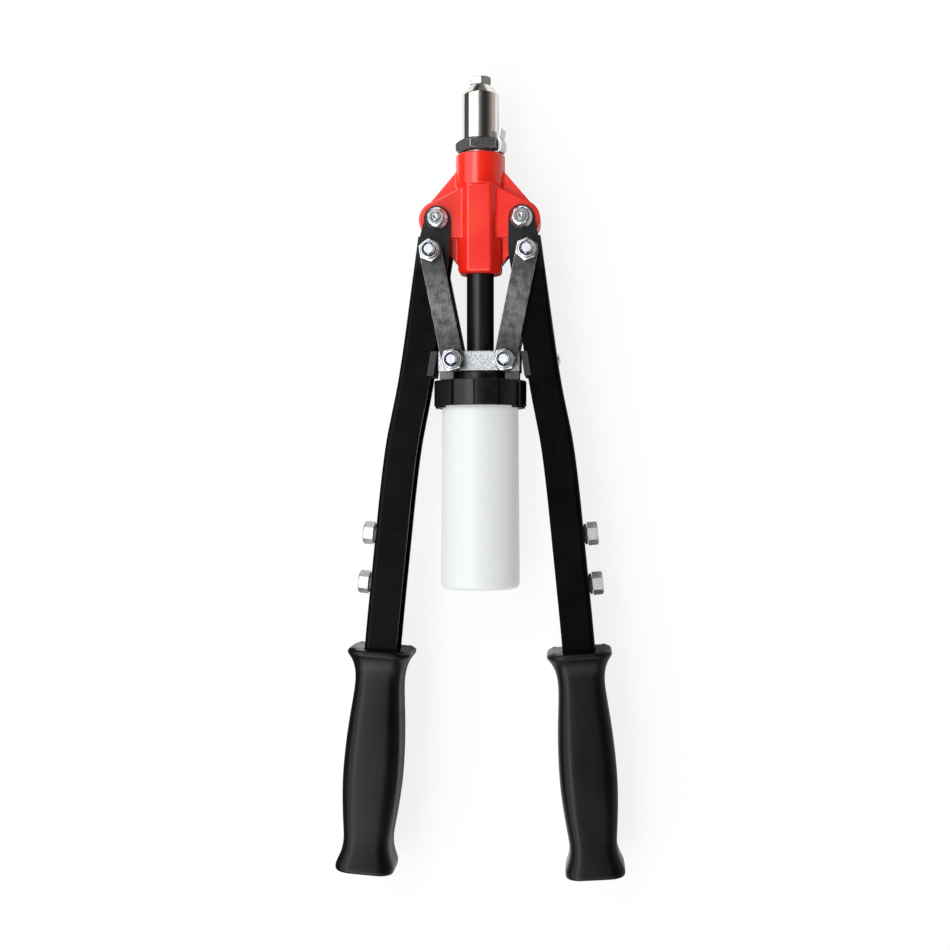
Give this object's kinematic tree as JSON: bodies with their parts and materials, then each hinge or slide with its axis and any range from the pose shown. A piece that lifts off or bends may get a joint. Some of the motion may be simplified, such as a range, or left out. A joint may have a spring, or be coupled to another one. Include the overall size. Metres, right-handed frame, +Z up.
{
  "type": "blind rivet pliers",
  "caption": "Two-handed blind riveter: long arms drive a crosshead by links, with a screw-on nosepiece and a collecting bottle at the rear.",
  "frame": {"origin": "middle of the footprint, on the surface that the tool lies on", "axes": "+Y along the tool towards the nosepiece, +X to the right arm, +Z up, square to the plane the arms open in"},
  "size_m": [0.187, 0.5154, 0.0598],
  "materials": {
    "red_paint": "semi-gloss paint on a die casting",
    "black_paint": "satin black paint on pressed steel",
    "polished_steel": "polished",
    "black_oxide_steel": "black oxide",
    "bare_steel": "mill finish, scuffed",
    "zinc_plate": "bright zinc plate",
    "cast_zinc": "machined and zinc plated, grainy",
    "black_plastic": "moulded",
    "grip_plastic": "moulded, soft sheen",
    "white_plastic": "blow moulded",
    "rubber": "matte",
    "spring_steel": "drawn wire"
  },
  "bodies": {
    "head": {"head_casting": "red_paint", "front_sleeve": "polished_steel", "lock_washer": "zinc_plate", "lock_nut": "black_oxide_steel", "nosepiece": "zinc_plate", "pivot_bolt_left": "zinc_plate", "pivot_bolt_right": "zinc_plate", "flange_nut_left": "zinc_plate", "flange_nut_right": "zinc_plate"},
    "arm_left": {"arm_left": "black_paint", "grip_left": "grip_plastic", "stop_pad_left": "rubber", "pad_screw_left": "zinc_plate", "bolt_arm_pin_left": "zinc_plate", "nut_arm_pin_left": "zinc_plate", "pin_spacer_left": "zinc_plate", "spare_socket_left_front": "black_oxide_steel", "spare_socket_left_rear": "black_oxide_steel", "spare_nosepiece_left_front": "zinc_plate", "spare_nosepiece_left_rear": "zinc_plate"},
    "arm_right": {"arm_right": "black_paint", "grip_right": "grip_plastic", "stop_pad_right": "rubber", "pad_screw_right": "zinc_plate", "bolt_arm_pin_right": "zinc_plate", "nut_arm_pin_right": "zinc_plate", "pin_spacer_right": "zinc_plate", "spare_socket_right_front": "black_oxide_steel", "spare_socket_right_rear": "black_oxide_steel", "spare_nosepiece_right_front": "zinc_plate", "spare_nosepiece_right_rear": "zinc_plate"},
    "links_left": {"link_front_left": "bare_steel", "link_rear_left": "bare_steel"},
    "links_right": {"link_front_right": "bare_steel", "link_rear_right": "bare_steel"},
    "crosshead": {"crosshead": "cast_zinc", "draw_tube": "black_oxide_steel", "jaw_housing": "black_oxide_steel", "bottle_cap": "black_plastic", "cap_nut": "zinc_plate", "bolt_cross_pin_left": "zinc_plate", "nut_cross_pin_left": "zinc_plate", "bolt_cross_pin_right": "zinc_plate", "nut_cross_pin_right": "zinc_plate", "jaw_spring": "spring_steel"},
    "jaw_set": {"jaw_1": "polished_steel", "jaw_2": "polished_steel", "jaw_3": "polished_steel", "jaw_pusher": "bare_steel"},
    "bottle_seal": {"seal_ring": "rubber"},
    "bottle": {"collecting_bottle": "white_plastic"}
  },
  "joints": [
    {"name": "arm_left_swing", "type": "hinge", "parent": "head", "child": "arm_left", "pos_m": [-0.0271, 0.16432, 0.02988], "axis": [0, 0, -1], "range_deg": [0, 50]},
    {"name": "arm_right_swing", "type": "hinge", "parent": "head", "child": "arm_right", "pos_m": [0.0271, 0.16432, 0.02988], "axis": [0, 0, 1], "range_deg": [0, 50]},
    {"name": "links_left_swing", "type": "hinge", "parent": "arm_left", "child": "links_left", "pos_m": [-0.03079, 0.14273, 0.02988], "axis": [0, 0, 1], "range_deg": [0, 62.93]},
    {"name": "links_right_swing", "type": "hinge", "parent": "arm_right", "child": "links_right", "pos_m": [0.03079, 0.14273, 0.02988], "axis": [0, 0, -1], "range_deg": [0, 62.93]},
    {"name": "crosshead_slide", "type": "slide", "parent": "head", "child": "crosshead", "axis": [0, 1, 0], "range_m": [0, 0.01548]},
    {"name": "jaws_back", "type": "slide", "parent": "crosshead", "child": "jaw_set", "axis": [0, -1, 0], "range_m": [0, 0.003], "stiffness_N_per_m": 300, "springref_m": -0.005, "deforming": ["jaw_spring"]},
    {"name": "bottle_turn", "type": "hinge", "parent": "crosshead", "child": "bottle_seal", "pos_m": [0, 0.05776, 0.02988], "axis": [0, -1, 0], "range_deg": [0, 540]},
    {"name": "bottle_back_off", "type": "slide", "parent": "bottle_seal", "child": "bottle", "axis": [0, -1, 0], "range_m": [0, 0.006]}
  ],
  "couplings": [
    {"joint": "arm_right_swing", "follows": "arm_left_swing", "ratio": 1},
    {"joint": "links_left_swing", "follows": "arm_left_swing", "ratio": 1.2584},
    {"joint": "links_right_swing", "follows": "arm_left_swing", "ratio": 1.2584},
    {"joint": "crosshead_slide", "follows": "arm_left_swing", "m_per_rad": 0.017732},
    {"joint": "bottle_back_off", "follows": "bottle_turn", "m_per_rad": 0.00063662}
  ]
}
